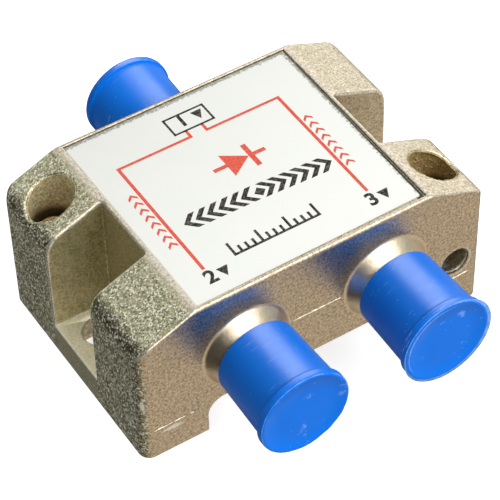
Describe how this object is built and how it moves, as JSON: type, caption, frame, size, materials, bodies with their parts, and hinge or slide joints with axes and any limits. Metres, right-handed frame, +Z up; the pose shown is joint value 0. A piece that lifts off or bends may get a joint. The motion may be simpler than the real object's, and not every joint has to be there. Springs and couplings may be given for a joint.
{
  "type": "coaxial splitter",
  "caption": "Two-way coaxial splitter: nickel-plated die-cast box with screw ears, clamp-screw ground blocks, threaded ports and pull-off blue dust caps.",
  "frame": {"origin": "on the plane of the feet, midway between the two ears and between the front and back cap ends", "axes": "+X to the right along the front face, +Y from the two outputs towards the input, +Z up"},
  "size_m": [0.0504, 0.059, 0.0227],
  "materials": {
    "nickel_casting": "nickel plate over a sand-textured die casting",
    "tinned_steel": "tinned, dull",
    "label_film": "printed film, satin",
    "blue_cap": "moulded polyethylene, satin",
    "white_insulator": "moulded, matt",
    "contact_brass": "plain brass",
    "board_laminate": "paper laminate",
    "ferrite": "ground ferrite",
    "copper_wire": "enamelled copper",
    "ceramic_disc": "dipped ceramic",
    "resistor_lacquer": "lacquer",
    "diode_epoxy": "moulded epoxy",
    "coppered_screw": "coppered steel"
  },
  "bodies": {
    "casting": {"housing": "nickel_casting", "base_lid": "tinned_steel", "top_label": "label_film", "circuit_board": "board_laminate", "isolation_resistor": "resistor_lacquer", "input_insulator": "white_insulator", "input_contact": "contact_brass", "input_capacitor": "ceramic_disc", "output_left_insulator": "white_insulator", "output_left_contact": "contact_brass", "output_left_capacitor": "ceramic_disc", "output_right_insulator": "white_insulator", "output_right_contact": "contact_brass", "output_right_capacitor": "ceramic_disc", "matching_core": "ferrite", "matching_winding": "copper_wire", "splitting_core": "ferrite", "splitting_winding": "copper_wire", "left_diode": "diode_epoxy", "left_choke_core": "ferrite", "left_choke_winding": "copper_wire", "right_diode": "diode_epoxy", "right_choke_core": "ferrite", "right_choke_winding": "copper_wire"},
    "input_cap": {"input_cap": "blue_cap"},
    "output_left_cap": {"output_left_cap": "blue_cap"},
    "output_right_cap": {"output_right_cap": "blue_cap"},
    "left_ground_screw": {"left_ground_screw": "coppered_screw"},
    "right_ground_screw": {"right_ground_screw": "coppered_screw"}
  },
  "joints": [
    {"name": "input_cap_slide", "type": "slide", "parent": "casting", "child": "input_cap", "axis": [0, 1, 0], "range_m": [0, 0.012]},
    {"name": "output_left_cap_slide", "type": "slide", "parent": "casting", "child": "output_left_cap", "axis": [0, -1, 0], "range_m": [0, 0.012]},
    {"name": "output_right_cap_slide", "type": "slide", "parent": "casting", "child": "output_right_cap", "axis": [0, -1, 0], "range_m": [0, 0.012]},
    {"name": "left_ground_screw_turn", "type": "hinge", "parent": "casting", "child": "left_ground_screw", "pos_m": [-0.0211, 0.01075, 0.014], "axis": [0, 0, 1], "continuous": true},
    {"name": "right_ground_screw_turn", "type": "hinge", "parent": "casting", "child": "right_ground_screw", "pos_m": [0.0211, -0.01075, 0.014], "axis": [0, 0, 1], "continuous": true}
  ]
}
